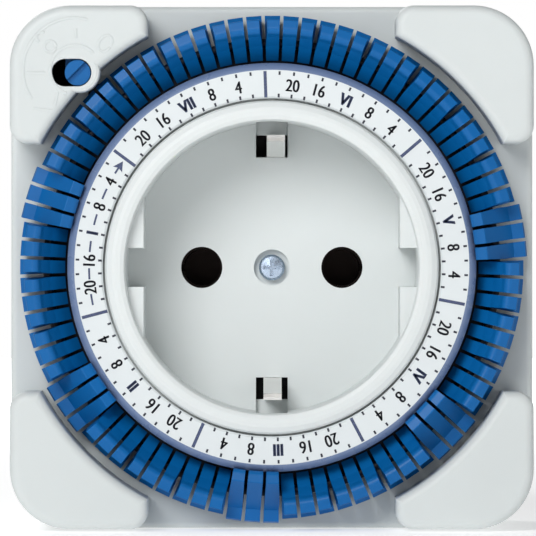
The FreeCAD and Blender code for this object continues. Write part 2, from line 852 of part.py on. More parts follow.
def sector(half_angle, apex=0.0):
    """A wedge about the dial axis that holds one tappet or one group of them."""
    reach = 40.0
    side = (reach - apex) * math.tan(math.radians(half_angle))
    corners = [Vector(0, apex, 20), Vector(side, reach, 20), Vector(-side, reach, 20)]
    return Part.Face(Part.makePolygon(corners + corners[:1])).extrude(Vector(0, 0, 40))


def tappet_group_shape():
    """Three tappets tilted outwards, trimmed so that the group clears its neighbours at both tilts."""
    tilt = number(D.lever_tilt)
    step = 360 / TAPPETS
    even_gap = number(D.lever_gap) / 2 / math.sin(math.radians(step / 2))
    lever = placed(lever_shape(), hinge_turn(tilt)).common(sector(step / 2, even_gap))
    space = sector(step * TAPPETS_PER_GROUP / 2 - 0.1)
    space_when_in = placed(space, hinge_turn(2 * tilt))
    levers = []
    for place in range(TAPPETS_PER_GROUP):
        angle = (place - (TAPPETS_PER_GROUP - 1) / 2) * step
        turned = placed(lever, Placement(Vector(), Rotation(Vector(0, 0, 1), -angle)))
        levers.append(turned.common(space).common(space_when_in))
    return Part.makeCompound([solid for shape in levers for solid in shape.Solids])


def tappets():
    """28 groups of three tappets, clockwise from the top of the dial."""
    master = tappet_group_shape()
    step = 360 / TAPPETS * TAPPETS_PER_GROUP
    for index in range(TAPPETS // TAPPETS_PER_GROUP):
        clockwise = number(D.first_tappet_angle) + (index + 0.5) * step
        tilt = hinge_turn(-2 * number(D.lever_tilt)) if index in GROUPS_SWITCHED_IN else Placement()
        turn = Placement(Vector(), Rotation(Vector(0, 0, 1), -clockwise))
        keep(finished_shape(f"tappets_{index:02d}", placed(placed(master, tilt), turn)))


# ---------------------------------------------------------------- gear train


def day_pinion():
    """The pinion under the program ring, on the arbor that turns once a day."""
    centre = (day_x, train_y)
    place = (number(day_x), number(train_y))
    facing = 135 + 180 / DAY_PINION_TEETH
    teeth = gear_shape(DAY_PINION_TEETH, number(D.dial_module), ring_gear_w, 0.0, facing, place)
    arbor = rod("day_arbor", D.arbor_radius, (D.bearing_floor + 0.1, D.ring_gear_back), centre)
    shoulder = rod("day_shoulder", 2.0, (15.2, 15.95), centre)
    return keep(fuse("day_pinion", finished_shape("day_pinion_teeth", teeth), arbor, shoulder))


def clutch_spring():
    """The slip clutch's dished washer, pressing the day wheel on its shoulder."""
    washer = lathe("clutch_spring", [(D.arbor_radius, 17.85), (2.9, 17.6), (2.9, 17.85), (D.arbor_radius, 18.1)])
    move(washer, day_x, train_y, 0)
    return keep(washer)


def wheel_windows(name, x, w):
    """Lightening holes round a wheel."""
    holes = []
    for i in range(5):
        angle = math.radians(90 + 72 * i)
        centre = (x + 7.0 * math.cos(angle), train_y + 7.0 * math.sin(angle))
        holes.append(rod(f"{name}_window_{i}", 2.2, w, centre))
    return holes


def day_wheel():
    teeth = train_gear("day_wheel_teeth", WHEEL_TEETH, day_x, (16.0, 17.5), 180.0, number(D.bearing_radius))
    return keep(cut("day_wheel", teeth, *wheel_windows("day", day_x, (15.5, 18.0))))


def reduction_wheel():
    """The wheel that the motor drives and the pinion that drives the day wheel, on one arbor."""
    centre = (reduction_x, train_y)
    wheel = train_gear("reduction_teeth", WHEEL_TEETH, reduction_x, (13.8, 15.0), 180.0)
    rim = cut("reduction_rim", wheel, *wheel_windows("reduction", reduction_x, (13.0, 15.5)))
    pinion = train_gear("reduction_pinion", PINION_TEETH, reduction_x, (15.0, 18.0), 180.0 / PINION_TEETH)
    arbor = rod("reduction_arbor", D.arbor_radius, (D.bearing_floor + 0.1, 19.4), centre)
    return keep(fuse("reduction_wheel", rim, pinion, arbor))


def motor_pinion():
    centre = (motor_x, train_y)
    teeth = train_gear("motor_pinion_teeth", PINION_TEETH, motor_x, (13.3, 15.5), 180.0 / PINION_TEETH)
    shaft = rod("motor_pinion_shaft", 0.7, (11.9, 19.4), centre)
    return keep(fuse("motor_pinion", teeth, shaft))


def movement_plate():
    """The plate over the train, on three legs from the back of the housing."""
    span = (D.movement_back, D.movement_front)
    plate = block("plate_sheet", (-12.0, 32.1), (-32.1, -4.6), span)
    legs = []
    for i, (x, y, radius) in enumerate(((12.8, -6.0, 1.1), (-2.0, -30.9, 0.9), (31.0, -7.0, 1.1))):
        legs.append(rod(f"plate_leg_{i}", radius, (D.wall, D.movement_back), (x, y)))
    holes = [
        rod("plate_corner", 5.6, (18.0, 20.0), (D.pillar_offset, -D.pillar_offset)),
        rod("plate_day_hole", D.bearing_radius, (18.0, 20.0), (day_x, train_y)),
        rod("plate_reduction_hole", D.bearing_radius, (18.0, 20.0), (reduction_x, train_y)),
        rod("plate_motor_hole", D.bearing_radius, (18.0, 20.0), (motor_x, train_y)),
        rod("plate_window", 3.6, (18.0, 20.0), (12.8, -13.5)),
    ]
    return keep(cut("movement_plate", fuse("plate_solid", plate, *legs), *holes))


# ---------------------------------------------------------------- motor


def at_motor(piece):
    move(piece, -D.motor_offset, -D.motor_offset, 0)
    return keep(piece)


def motor_can():
    """The motor's steel cup with a fixed spindle for the rotor."""
    profile = [
        (0, D.motor_back),
        (D.motor_radius, D.motor_back),
        (D.motor_radius, D.motor_front),
        (5.2, D.motor_front),
        (5.2, D.motor_front - 0.6),
        (D.motor_radius - 0.6, D.motor_front - 0.6),
        (D.motor_radius - 0.6, D.motor_back + 0.6),
        (0.5, D.motor_back + 0.6),
        (0.5, 9.6),
        (0, 9.6),
    ]
    return at_motor(lathe("motor_can", profile))


def motor_coil():
    """The ring coil with its bobbin flanges."""
    profile = [
        (5.3, 3.2),
        (12.2, 3.2),
        (12.2, 3.8),
        (11.6, 3.8),
        (11.6, 8.6),
        (12.2, 8.6),
        (12.2, 9.2),
        (5.3, 9.2),
    ]
    return at_motor(lathe("motor_coil", profile))


def motor_rotor():
    return at_motor(lathe("motor_rotor", [(0.55, 3.6), (4.6, 3.6), (4.6, 9.4), (0.55, 9.4)]))


def motor_gearbox():
    """The sealed reduction box on the motor, with the output pinion's bearing."""
    centre = (-D.motor_offset, -D.motor_offset)
    box = rod("gearbox_box", D.motor_radius, (D.motor_front, D.gearbox_front), centre)
    bearing = rod("gearbox_bearing", 0.75, (D.motor_front + 0.3, D.gearbox_front + 1), (motor_x, train_y))
    return keep(cut("motor_gearbox", box, bearing))


# ---------------------------------------------------------------- override and load switch


def wedge_level(x, drop=0.0):
    """The slope between the slider's stem and the plunger, at the slider's rest."""
    return 28.2 - drop - D.wedge_slope * (x - D.button_x)


def override_slider():
    """The round button, its stem with a sloping end, and the tab that keeps it in its slot."""
    centre = (D.button_x, D.button_y)
    stem = rod("slider_stem", D.button_radius, (26.5, 42.7), centre)
    slot = block("slider_slot", (-3, 3), (-0.35, 0.35), (0, 2))
    slot.Placement.Rotation = Rotation(Vector(0, 0, 1), 45)
    reach = 3.0 * math.sqrt(0.5)
    across = 0.35 * math.sqrt(0.5)
    move(slot, D.button_x - reach + across, D.button_y - reach - across, 42.1)
    tab = block("slider_tab", (D.button_x - 1.7, D.button_x + 0.6), (D.button_y, 29.0), (39.0, 40.0))
    low = (D.button_x - 3, D.button_x + 3)
    below = [(low[0], 20.0), (low[1], 20.0), (low[1], wedge_level(low[1])), (low[0], wedge_level(low[0]))]
    slope = prism("slider_slope", "XZ", below, D.button_y - 3, D.button_y + 3)
    return keep(cut("override_slider", fuse("slider_solid", stem, tab), slot, slope))


def switch_plunger():
    """The plunger under the tappets' feet, with the ramp that the override slider presses."""
    centre = (-D.plunger_offset, D.plunger_offset)
    post = rod("plunger_post", D.plunger_radius, (17.0, D.plunger_level), centre)
    arm = block("plunger_arm", (-29.4, -22.4), (22.3, 26.6), (24.6, 26.0))
    high = (-29.4, -24.95)
    ramp_points = [
        (high[0], 25.5),
        (high[1], 25.5),
        (high[1], wedge_level(high[1], 0.15)),
        (high[0], wedge_level(high[0], 0.15)),
    ]
    ramp = prism("plunger_ramp", "XZ", ramp_points, 24.7, 26.6)
    return keep(fuse("switch_plunger", post, arm, ramp))


def switch_case():
    outer = block("case_outer", (-32.2, -17.4), (10.0, 27.5), (3.2, 20.5))
    inner = block("case_inner", (-31.0, -18.6), (11.2, 26.4), (4.4, 19.3))
    centre = (-D.plunger_offset, D.plunger_offset)
    hole = rod("case_plunger_hole", D.plunger_radius + 0.3, (19.0, 21.0), centre)
    live_opening = block("case_live_opening", (-25.9, -20.8), (11.4, 13.6), (3.0, 4.6))
    load_opening = block("case_load_opening", (-18.8, -17.0), (15.0, 17.0), (4.6, 5.2))
    return keep(cut("switch_case", outer, inner, hole, live_opening, load_opening))


def moving_contact():
    """The contact arm: a pin in the terminal's ears, a leaf and a contact button."""
    knuckle = Part.makeCylinder(0.7, 4.8, Vector(-25.75, 12.5, 15.9), Vector(1, 0, 0))
    leaf = Part.makeBox(2.5, 13.0, 0.4, Vector(-24.6, 12.5, 16.1))
    button = Part.makeCylinder(1.0, 0.75, Vector(-23.35, 24.6, 15.4))
    return keep(finished_shape("moving_contact", leaf.fuse([knuckle, button]).removeSplitter()))


def live_link():
    """The live conductor from its pin to the forked terminal that holds the moving contact."""
    riser = block("live_riser", (-10.7, -8.3), (-1.2, 1.2), (-12.0, 3.0))
    across = block("live_across", (-24.6, -8.3), (-1.2, 1.2), (2.2, 3.0))
    along = block("live_along", (-24.6, -22.1), (-1.2, 13.6), (2.2, 3.0))
    post = block("live_post", (-25.9, -20.8), (11.4, 13.6), (2.2, 16.9))
    fork = block("live_fork", (-25.0, -21.7), (11.0, 14.0), (14.5, 17.5))
    eye = doc.addObject("Part::Cylinder", "live_eye")
    eye.Placement.Rotation = Rotation(Vector(0, 1, 0), 90)
    bind(eye, Radius=0.76, Height=6.0)
    move(eye, -26.4, 12.5, 15.9)
    return keep(cut("live_link", fuse("live_solid", riser, across, along, post), fork, eye))


def fixed_contact():
    """The switched conductor from the fixed contact to the live sleeve's tail."""
    head = block("fixed_head", (-24.6, -22.1), (23.4, 26.3), (13.1, 13.7))
    tip = rod("fixed_tip", 1.0, (13.7, 14.1), (-23.35, 24.6))
    leg = block("fixed_leg", (-24.6, -22.1), (25.7, 26.3), (4.6, 13.7))
    foot = block("fixed_foot", (-24.6, -22.1), (15.0, 26.3), (4.6, 5.2))
    across = block("fixed_across", (-24.6, -8.9), (15.0, 17.0), (4.6, 5.2))
    back = block("fixed_back", (-10.4, -8.6), (3.6, 17.0), (4.3, 5.2))
    return keep(fuse("fixed_contact", head, tip, leg, foot, across, back))


def neutral_link():
    """The neutral conductor from its pin to the sleeve in front of it."""
    return keep(rod("neutral_link", 1.2, (-12.0, 3.5), (D.pin_pitch / 2, 0)))


def motor_leads():
    """The motor's two leads, to the live strip and to the neutral conductor."""
    live_lead = block("live_lead", (-19.0, -18.2), (-5.4, -1.2), (2.3, 3.0))
    across = block("neutral_lead_across", (-9.2, 9.9), (-8.8, -8.0), (2.3, 3.1))
    along = block("neutral_lead_along", (9.1, 9.9), (-8.8, -1.25), (2.3, 3.1))
    return keep(group("motor_leads", live_lead, fuse("neutral_lead", across, along)))


# ---------------------------------------------------------------- assembly

rear_shell()
front_cover()
housing_screws()
socket_insert()
centre_screw()
pin("live_pin", -1)
pin("neutral_pin", 1)
plug_earth_strip()
earth_clips()
pin_sleeve("live_contact", -1)
pin_sleeve("neutral_contact", 1)
dial_disc()
program_ring()
tappets()
day_pinion()
clutch_spring()
day_wheel()
reduction_wheel()
motor_pinion()
movement_plate()
motor_can()
motor_coil()
motor_rotor()
motor_gearbox()
override_slider()
switch_plunger()
switch_case()
moving_contact()
live_link()
fixed_contact()
neutral_link()
motor_leads()

doc.recompute()
failed = [obj.Name for obj in doc.Objects if {"Invalid", "Error"} & set(obj.State)]
failed += [piece.Name for piece in subparts if piece.Shape.isNull() or not piece.Shape.isValid()]
if failed:
    raise RuntimeError(f"these pieces failed: {failed}")

os.makedirs("parts", exist_ok=True)
for piece in subparts:
    piece.Shape.exportStep(f"parts/{piece.Label}.step")
print(len(subparts), "sub-parts")
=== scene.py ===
import json
import math

import bmesh
import bpy
from mathutils import Matrix, Vector


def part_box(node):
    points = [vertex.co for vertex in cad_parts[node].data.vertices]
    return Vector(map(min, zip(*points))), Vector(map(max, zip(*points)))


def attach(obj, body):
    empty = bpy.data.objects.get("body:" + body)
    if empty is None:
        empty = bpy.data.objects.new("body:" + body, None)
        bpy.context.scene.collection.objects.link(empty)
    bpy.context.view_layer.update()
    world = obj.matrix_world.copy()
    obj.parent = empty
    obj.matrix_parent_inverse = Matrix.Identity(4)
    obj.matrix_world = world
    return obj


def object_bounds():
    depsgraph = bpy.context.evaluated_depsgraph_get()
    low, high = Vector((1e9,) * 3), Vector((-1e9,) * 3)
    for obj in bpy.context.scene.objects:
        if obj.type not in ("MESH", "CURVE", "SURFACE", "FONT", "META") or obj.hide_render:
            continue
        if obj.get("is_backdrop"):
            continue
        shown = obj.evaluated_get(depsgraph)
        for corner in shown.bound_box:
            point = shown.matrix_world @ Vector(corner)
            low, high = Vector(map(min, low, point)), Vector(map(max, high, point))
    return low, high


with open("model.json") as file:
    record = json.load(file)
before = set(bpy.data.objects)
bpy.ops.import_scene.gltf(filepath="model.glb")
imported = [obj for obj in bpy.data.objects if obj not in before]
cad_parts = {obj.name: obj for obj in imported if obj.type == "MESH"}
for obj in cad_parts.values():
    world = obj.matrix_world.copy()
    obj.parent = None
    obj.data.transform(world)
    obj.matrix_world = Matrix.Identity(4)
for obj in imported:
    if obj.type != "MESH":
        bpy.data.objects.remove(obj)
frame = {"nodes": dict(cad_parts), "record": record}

# A plug-in seven-day time switch. Metres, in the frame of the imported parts: X right, Z up, front
# towards -Y, dial axis along Y through the origin.

MM = 0.001
AXIS_TO_TOP = Matrix.Rotation(math.radians(90), 4, "X")
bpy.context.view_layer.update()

dial_low, dial_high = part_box("dial_disc")
FACE_Y = dial_low.y
POST_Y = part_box("front_cover")[0].y

# ---------------------------------------------------------------- materials


def new_material(name):
    """A material with its Principled shader."""
    material = bpy.data.materials.new(name)
    material.use_nodes = True
    shader = material.node_tree.nodes["Principled BSDF"]
    return material, material.node_tree, shader


def noise(tree, scale, detail=4.0, roughness=0.5, stretch=(1, 1, 1)):
    """Noise in the object's own coordinates."""
    place = tree.nodes.new("ShaderNodeTexCoord")
    mapping = tree.nodes.new("ShaderNodeMapping")
    mapping.inputs["Scale"].default_value = stretch
    texture = tree.nodes.new("ShaderNodeTexNoise")
    texture.inputs["Scale"].default_value = scale
    texture.inputs["Detail"].default_value = detail
    texture.inputs["Roughness"].default_value = roughness
    tree.links.new(place.outputs["Object"], mapping.inputs["Vector"])
    tree.links.new(mapping.outputs["Vector"], texture.inputs["Vector"])
    return texture.outputs["Fac"]


def ramp(tree, source, low, high, low_at=0.3, high_at=0.7):
    """A colour ramp between two colours."""
    node = tree.nodes.new("ShaderNodeValToRGB")
    node.color_ramp.elements[0].position = low_at
    node.color_ramp.elements[0].color = (*low, 1)
    node.color_ramp.elements[1].position = high_at
    node.color_ramp.elements[1].color = (*high, 1)
    tree.links.new(source, node.inputs["Fac"])
    return node.outputs["Color"]


def spread(tree, source, low, high):
    """A number that runs from low to high as the source runs from 0 to 1."""
    node = tree.nodes.new("ShaderNodeMapRange")
    node.inputs["To Min"].default_value = low
    node.inputs["To Max"].default_value = high
    tree.links.new(source, node.inputs["Value"])
    return node.outputs["Result"]


def bump(tree, shader, height, distance, strength=1.0):
    node = tree.nodes.new("ShaderNodeBump")
    node.inputs["Distance"].default_value = distance
    node.inputs["Strength"].default_value = strength
    tree.links.new(height, node.inputs["Height"])
    tree.links.new(node.outputs["Normal"], shader.inputs["Normal"])
    return node


def moulded_plastic(
    name, color, shade=0.96, roughness=0.42, grain=5200, depth=0.000012, glow=0.0, sheen=0.42
):
    """Injection-moulded plastic: a fine spark-eroded grain, slow colour drift and uneven sheen."""
    material, tree, shader = new_material(name)
    drift = noise(tree, 60, 3.0)
    darker = tuple(c * shade for c in color)
    tree.links.new(ramp(tree, drift, darker, color), shader.inputs["Base Color"])
    fine = noise(tree, grain, 3.0, 0.6)
    patches = noise(tree, 240, 5.0, 0.6)
    tree.links.new(spread(tree, patches, roughness - 0.07, roughness + 0.07), shader.inputs["Roughness"])
    bump(tree, shader, fine, depth, 0.6)
    shader.inputs["IOR"].default_value = 1.49
    shader.inputs["Specular IOR Level"].default_value = sheen
    if glow:
        shader.inputs["Subsurface Weight"].default_value = glow
        shader.inputs["Subsurface Radius"].default_value = (0.0012, 0.0010, 0.0009)
        shader.inputs["Subsurface Scale"].default_value = 1.0
    return material


def metal(name, color, roughness=0.28, stretch=(1, 1, 1), grain=1400, depth=0.000008):
    """Plated or rolled metal: drawn lines or fine pitting, with a slightly uneven tint."""
    material, tree, shader = new_material(name)
    shader.inputs["Metallic"].default_value = 1.0
    tint = noise(tree, 180, 4.0)
    darker = tuple(c * 0.86 for c in color)
    tree.links.new(ramp(tree, tint, darker, color, 0.25, 0.75), shader.inputs["Base Color"])
    lines = noise(tree, grain, 4.0, 0.65, stretch)
    tree.links.new(spread(tree, lines, roughness - 0.08, roughness + 0.12), shader.inputs["Roughness"])
    bump(tree, shader, lines, depth, 0.5)
    return material


def winding(name, color):
    """Fine wire laid in turns round a bobbin."""
    material, tree, shader = new_material(name)
    place = tree.nodes.new("ShaderNodeTexCoord")
    wave = tree.nodes.new("ShaderNodeTexWave")
    wave.bands_direction = "Y"
    wave.inputs["Scale"].default_value = 1500
    wave.inputs["Distortion"].default_value = 1.5
    tree.links.new(place.outputs["Object"], wave.inputs["Vector"])
    darker = tuple(c * 0.35 for c in color)
    tree.links.new(ramp(tree, wave.outputs["Fac"], darker, color, 0.1, 0.8), shader.inputs["Base Color"])
    shader.inputs["Roughness"].default_value = 0.3
    bump(tree, shader, wave.outputs["Fac"], 0.00006)
    return material


def printing_ink(name, color):
    """Pad-printed ink with slightly uneven cover."""
    material, tree, shader = new_material(name)
    cover = noise(tree, 3500, 4.0, 0.7)
    lighter = tuple(min(1.0, c * 1.7 + 0.015) for c in color)
    tree.links.new(ramp(tree, cover, lighter, color, 0.25, 0.55), shader.inputs["Base Color"])
    sheen = noise(tree, 900, 3.0)
    tree.links.new(spread(tree, sheen, 0.4, 0.6), shader.inputs["Roughness"])
    bump(tree, shader, cover, 0.000004, 0.4)
    return material


def studio_surface(name, color):
    """Matt acrylic with a painted glow of its own, dim under the object and as white as the air from a
    metre away.
    """
    material, tree, shader = new_material(name)
    drift = noise(tree, 4, 3.0)
    shade = ramp(tree, drift, tuple(c * 0.99 for c in color), color)
    tree.links.new(shade, shader.inputs["Base Color"])
    place = tree.nodes.new("ShaderNodeTexCoord")
    nearness = tree.nodes.new("ShaderNodeTexGradient")
    nearness.gradient_type = "SPHERICAL"
    tree.links.new(place.outputs["Object"], nearness.inputs["Vector"])
    # Painted glow: the emission is white far out and dimmer near the middle, under the object.
    glow = ramp(tree, nearness.outputs["Fac"], (1, 1, 1), (0.36, 0.36, 0.36))
    tree.links.new(glow, shader.inputs["Emission Color"])
    shader.inputs["Emission Strength"].default_value = 1.1
    shader.inputs["Roughness"].default_value = 0.9
    return material


WHITE = moulded_plastic("white_plastic", (0.60, 0.635, 0.632), 0.975, 0.44, glow=0.12, sheen=0.3)
# A brighter copy of the white for the socket insert: partly a lighter tone of its own, partly painted
# light against the shade in the socket recess.
INSERT_WHITE_AND_PAINTED_LIGHT = moulded_plastic("socket_plastic_and_painted_light", (0.675, 0.708, 0.705), 0.985, 0.42, glow=0.12, sheen=0.3)
DIAL = moulded_plastic("dial_plastic", (0.66, 0.70, 0.71), 0.98, 0.36, grain=7000, depth=0.000006)
BLUE = moulded_plastic(
    "blue_plastic", (0.001, 0.115, 0.36), 0.86, 0.40, grain=6000, depth=0.000012, sheen=0.24
)
# Near-black for the tappet carrier ring: painted shade in the gaps between the tappets.
RING_PAINTED_SHADE = moulded_plastic("ring_painted_shade_black", (0.006, 0.009, 0.022), 0.8, 0.5)
BLACK = moulded_plastic("black_plastic", (0.012, 0.012, 0.014), 0.8, 0.5)
ACETAL = moulded_plastic("acetal", (0.66, 0.63, 0.53), 0.95, 0.33)
FERRITE = moulded_plastic("ferrite", (0.03, 0.03, 0.033), 0.7, 0.6, grain=3000, depth=0.00003)
ZINC = metal("zinc_plate", (0.50, 0.60, 0.74), 0.25, grain=2600)
NICKEL = metal("nickel_plate", (0.88, 0.87, 0.85), 0.30, (1, 0.08, 1))
BRASS = metal("rolled_brass", (0.72, 0.50, 0.20), 0.3, (1, 0.1, 1))
COPPER = metal("tinned_copper", (0.66, 0.58, 0.50), 0.35)
STEEL = metal("can_steel", (0.55, 0.55, 0.54), 0.35, (1, 0.06, 1))
COIL = winding("enamelled_winding", (0.45, 0.13, 0.03))
# Near-black metal for the pin contacts: painted shade for the depth inside the pin holes.
CONTACT_PAINTED_SHADE = metal("contact_painted_shade", (0.014, 0.011, 0.010), 0.30, (1, 0.1, 1))
INK = printing_ink("dial_ink", (0.010, 0.012, 0.026))
BLUE_INK = printing_ink("day_ink", (0.035, 0.050, 0.115))
# Blue-grey for the dial's white bevel: painted reflection of the blue tappets and painted shade.
EDGE_PAINTED_REFLECTION_AND_SHADE = moulded_plastic(
    "dial_edge_painted_reflection_and_shade", (0.15, 0.21, 0.35), 0.96, 0.28, grain=7000, depth=0.000006, sheen=0.5
)

SLOT_MATERIALS = {
    "white_housing": WHITE,
    "blue_tappets": BLUE,
    # The carrier ring's slot takes the near-black painted shade.
    "dark_ring": RING_PAINTED_SHADE,
    "dial_white": DIAL,
    "zinc_steel": ZINC,
    "nickel_plate": NICKEL,
    "contact_brass": BRASS,
    "tinned_copper": COPPER,
    "can_steel": STEEL,
    "coil_winding": COIL,
    "rotor_magnet": FERRITE,
    "spring_steel": STEEL,
    "acetal_gear": ACETAL,
    "black_plastic": BLACK,
}


def finish_cad_nodes():
    """Each carried-over CAD node gets the material of its slot."""
    for part in frame["record"]["subparts"]:
        node = frame["nodes"][part["node"]]
        node.data.materials.clear()
        node.data.materials.append(SLOT_MATERIALS[part["material_slot"]])
    # The pin contacts take the near-black metal, painted shade for the depth of the pin holes.
    for name in ("live_contact", "neutral_contact"):
        frame["nodes"][name].data.materials[0] = CONTACT_PAINTED_SHADE
    # The socket insert takes the brighter white, partly painted light for its shaded recess.
    frame["nodes"]["socket_insert"].data.materials[0] = INSERT_WHITE_AND_PAINTED_LIGHT


def soften_tappets():
    """A fine moulded radius along the tappets' edges."""
    for part in frame["record"]["subparts"]:
        if part["material_slot"] == "blue_tappets" and part["node"].startswith("tappets_"):
            edge = frame["nodes"][part["node"]].modifiers.new("edge", "BEVEL")
            edge.width = 0.09 * MM
            edge.segments = 2
            edge.limit_method = "ANGLE"
            edge.angle_limit = math.radians(35)
            edge.harden_normals = True


# ---------------------------------------------------------------- mesh helpers


def piece_from_bmesh(name, mesh, material, body):
    """A finished object that rides on a body."""
    data = bpy.data.meshes.new(name)
    mesh.to_mesh(data)
    mesh.free()
    data.materials.append(material)
    piece = bpy.data.objects.new(name, data)
    bpy.context.scene.collection.objects.link(piece)
    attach(piece, body)
    return piece


def turned(mesh, profile, segments=240):
    """A surface turned about the dial axis from (radius, y) points in metres."""
    rings = []
    for radius, y in profile:
        rings.append([mesh.verts.new(on_dial(360 * i / segments, radius, y)) for i in range(segments)])
    for inner, outer in zip(rings, rings[1:]):
        for i in range(segments):
            k = (i + 1) % segments
            mesh.faces.new((inner[i], inner[k], outer[k], outer[i])).smooth = True


def on_dial(angle, radius, y):
    """A point on the dial, with the angle in degrees clockwise from the top."""
    turn = math.radians(angle)
    return Vector((radius * math.sin(turn), y, radius * math.cos(turn)))


# ---------------------------------------------------------------- the dial's print

PRINT_Y = FACE_Y - 0.02 * MM
DAYS = ("VII", "VI", "V", "IV", "III", "II", "I")
FIRST_MIDNIGHT = -2.0
DAY_ANGLE = 360 / 7
TWO_HOURS = 360 / 84
OUTER_TICK = (25.62 * MM, 26.10 * MM)
INNER_TICK = (22.62 * MM, 23.12 * MM)
BAR = (22.62 * MM, 26.12 * MM)
DIGIT_MIDDLE = 24.3 * MM
DIGIT_HEIGHT = 1.62 * MM


def add_bar(mesh, angle, radii, width):
    """A radial bar of print."""
    along = on_dial(angle, 1, 0)
    across = Vector((along.z, 0, -along.x)) * width / 2
    corners = []
    for radius, side in ((radii[0], -1), (radii[0], 1), (radii[1], 1), (radii[1], -1)):
        corners.append(mesh.verts.new(along * radius + across * side + Vector((0, PRINT_Y, 0))))
    mesh.faces.new(corners)


def add_glyphs(mesh, text, angle, size, squeeze=0.78):
    """Numerals centred at an angle, with their tops outwards."""
    curve = bpy.data.curves.new("glyphs", "FONT")
    curve.body = text
    curve.size = size / 0.70
    curve.align_x = "CENTER"
    curve.align_y = "CENTER"
    curve.resolution_u = 6
    holder = bpy.data.objects.new("glyphs", curve)
    bpy.context.scene.collection.objects.link(holder)
    flat = bpy.data.meshes.new_from_object(holder.evaluated_get(bpy.context.evaluated_depsgraph_get()))
    xs = [v.co.x for v in flat.vertices]
    ys = [v.co.y for v in flat.vertices]
    middle = Vector(((min(xs) + max(xs)) / 2, (min(ys) + max(ys)) / 2, 0))
    place = (
        Matrix.Translation(on_dial(angle, DIGIT_MIDDLE, PRINT_Y))
        @ Matrix.Rotation(math.radians(angle), 4, "Y")
        @ AXIS_TO_TOP
        @ Matrix.Diagonal((squeeze, 1, 1, 1))
        @ Matrix.Translation(-middle)
    )
    flat.transform(place)
    mesh.from_mesh(flat)
    bpy.data.objects.remove(holder)
    bpy.data.curves.remove(curve)
    bpy.data.meshes.remove(flat)


def dial_ticks():
    """Ticks each two hours inside and outside, and a bar across the scale at each midnight."""
    mesh = bmesh.new()
    for day in range(len(DAYS)):
        midnight = FIRST_MIDNIGHT + day * DAY_ANGLE
        for place in range(1, 12):
            add_bar(mesh, midnight + place * TWO_HOURS, OUTER_TICK, 0.27 * MM)
            add_bar(mesh, midnight + place * TWO_HOURS, INNER_TICK, 0.27 * MM)
    piece_from_bmesh("dial_ticks", mesh, INK, "dial")
    bars = bmesh.new()
    for day in range(len(DAYS)):
        add_bar(bars, FIRST_MIDNIGHT + day * DAY_ANGLE, BAR, 0.42 * MM)
    piece_from_bmesh("dial_midnight_bars", bars, BLUE_INK, "dial")


def add_arc_bar(mesh, start, end, radius, width):
    """A bar of print along the dial's curve."""
    steps = 6
    pairs = []
    for i in range(steps + 1):
        angle = start + (end - start) * i / steps
        edges = (radius - width / 2, radius + width / 2)
        pairs.append([mesh.verts.new(on_dial(angle, edge, PRINT_Y)) for edge in edges])
    for before, after in zip(pairs, pairs[1:]):
        mesh.faces.new((before[0], before[1], after[1], after[0]))


def dial_edge():
    """The bevel round the dial's edge, blue-grey as painted reflection of the blue tappets and painted
    shade.
    """
    edge = (dial_high.x - dial_low.x) / 2
    skin = 0.02 * MM
    mesh = bmesh.new()
    turned(
        mesh,
        [
            (edge - 0.93 * MM, FACE_Y - skin),
            (edge - 0.86 * MM, FACE_Y - skin),
            (edge + skin, FACE_Y + 0.87 * MM),
            (edge + skin, dial_high.y),
        ],
    )
    piece_from_bmesh("dial_edge", mesh, EDGE_PAINTED_REFLECTION_AND_SHADE, "dial")


def day_one_arrow():
    """Dashes between the first day's numerals and an arrow that points the way the dial turns."""
    mesh = bmesh.new()
    start = FIRST_MIDNIGHT + (DAYS.index("I") - 1) * DAY_ANGLE
    for place in (1.1, 3.0, 5.0, 7.0, 9.0):
        middle = start + place * TWO_HOURS
        add_arc_bar(mesh, middle - 1.75, middle + 1.75, DIGIT_MIDDLE, 0.26 * MM)
    tip = start + 11.75 * TWO_HOURS
    add_arc_bar(mesh, tip - 4.6, tip - 2.4, DIGIT_MIDDLE, 0.26 * MM)
    head = [(tip, 0.0), (tip - 3.1, 0.72), (tip - 2.5, 0.0), (tip - 3.1, -0.72)]
    mesh.faces.new([mesh.verts.new(on_dial(a, DIGIT_MIDDLE + out * MM, PRINT_Y)) for a, out in head])
    piece_from_bmesh("dial_arrow", mesh, BLUE_INK, "dial")


def dial_numbers():
    """The hours 20, 16, 8 and 4 of each day, and the day's numeral at its noon."""
    hours = bmesh.new()
    numerals = bmesh.new()
    for day in range(len(DAYS)):
        start = FIRST_MIDNIGHT + (day - 1) * DAY_ANGLE
        for place, hour in ((2, "20"), (4, "16"), (8, "8"), (10, "4")):
            for strike in (-0.13, 0, 0.13):
                add_glyphs(hours, hour, start + place * TWO_HOURS + strike, DIGIT_HEIGHT, 0.80)
        for strike in (-0.25, 0, 0.25):
            add_glyphs(numerals, DAYS[day], start + 6 * TWO_HOURS + strike, DIGIT_HEIGHT, 0.84)
    piece_from_bmesh("dial_hours", hours, INK, "dial")
    piece_from_bmesh("dial_days", numerals, BLUE_INK, "dial")


# ---------------------------------------------------------------- moulded marks

OVERRIDE = Vector((-26.1 * MM, POST_Y, 26.2 * MM))


def circle_path(centre, radii, start, end, tilt=0.0, steps=28):
    """Points on an ellipse in the face plane, from one angle to another in degrees."""
    points = []
    lean = math.radians(tilt)
    for i in range(steps + 1):
        turn = math.radians(start + (end - start) * i / steps)
        x, z = radii[0] * math.cos(turn), radii[1] * math.sin(turn)
        x, z = x * math.cos(lean) - z * math.sin(lean), x * math.sin(lean) + z * math.cos(lean)
        points.append((centre[0] + x, centre[1] + z))
    return points


